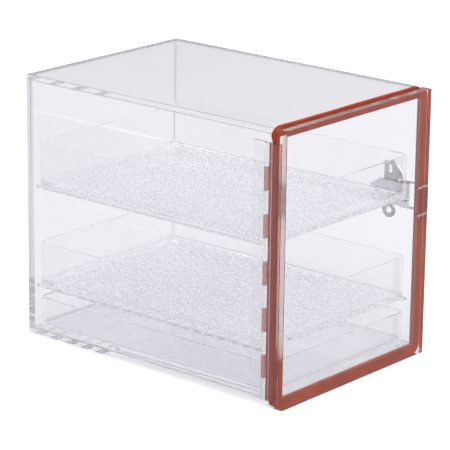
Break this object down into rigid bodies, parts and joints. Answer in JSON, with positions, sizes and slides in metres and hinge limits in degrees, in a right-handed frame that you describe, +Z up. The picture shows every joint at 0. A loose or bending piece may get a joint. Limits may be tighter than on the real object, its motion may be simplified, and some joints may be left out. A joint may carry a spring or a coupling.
{
  "type": "desiccator cabinet",
  "caption": "Clear acrylic desiccator cabinet with a gasketed door on a piano hinge, a lockable draw latch, perforated trays and a desiccant tray.",
  "frame": {"origin": "under the middle of the whole closed cabinet, latch and hinge included, on the surface its feet stand on", "axes": "+Z up, +Y from the door to the back, +X from the hinge side to the latch side"},
  "size_m": [0.2716, 0.3746, 0.3099],
  "materials": {
    "clear_acrylic": "polished clear acrylic sheet",
    "tray_plastic": "moulded clear plastic",
    "hinge_plastic": "clear moulded plastic",
    "red_silicone": "matt brick-red silicone",
    "clear_rubber": "clear soft bumper",
    "steel": "bright plated steel"
  },
  "bodies": {
    "cabinet": {"bottom_panel": "clear_acrylic", "top_panel": "clear_acrylic", "left_wall": "clear_acrylic", "right_wall": "clear_acrylic", "back_panel": "clear_acrylic", "feet": "clear_rubber", "upper_left_rail": "clear_acrylic", "upper_right_rail": "clear_acrylic", "lower_left_rail": "clear_acrylic", "lower_right_rail": "clear_acrylic", "hinge_wall_leaf": "hinge_plastic", "hinge_pin": "steel", "latch_base": "steel", "latch_ears": "steel", "lock_hasps": "steel", "latch_screws": "steel", "latch_pivot_pin": "steel"},
    "door": {"door_panel": "clear_acrylic", "gasket": "red_silicone", "hinge_door_leaf": "hinge_plastic", "keeper": "steel", "keeper_screws": "steel"},
    "latch_lever": {"latch_lever": "steel"},
    "latch_bail": {"latch_bail": "steel"},
    "upper_tray": {"upper_tray_floor": "tray_plastic", "upper_tray_walls": "tray_plastic"},
    "lower_tray": {"lower_tray_floor": "tray_plastic", "lower_tray_walls": "tray_plastic"},
    "desiccant_tray": {"desiccant_tray": "tray_plastic"}
  },
  "joints": [
    {"name": "door_hinge", "type": "hinge", "parent": "cabinet", "child": "door", "pos_m": [-0.13345, -0.16278, 0.15055], "axis": [0, 0, -1], "range_deg": [0, 170]},
    {"name": "latch_lever_pivot", "type": "hinge", "parent": "cabinet", "child": "latch_lever", "pos_m": [0.12975, -0.14727, 0.1803], "axis": [0, 0, -1], "range_deg": [0, 100]},
    {"name": "latch_bail_pivot", "type": "hinge", "parent": "latch_lever", "child": "latch_bail", "pos_m": [0.12875, -0.13928, 0.1803], "axis": [0, 0, 1], "range_deg": [0, 112]},
    {"name": "upper_tray_slide", "type": "slide", "parent": "cabinet", "child": "upper_tray", "axis": [0, -1, 0], "range_m": [0, 0.007]},
    {"name": "lower_tray_slide", "type": "slide", "parent": "cabinet", "child": "lower_tray", "axis": [0, -1, 0], "range_m": [0, 0.007]},
    {"name": "desiccant_tray_slide", "type": "slide", "parent": "cabinet", "child": "desiccant_tray", "axis": [0, -1, 0], "range_m": [0, 0.007]}
  ],
  "couplings": [
    {"joint": "latch_bail_pivot", "follows": "latch_lever_pivot", "ratio": 1.1}
  ]
}
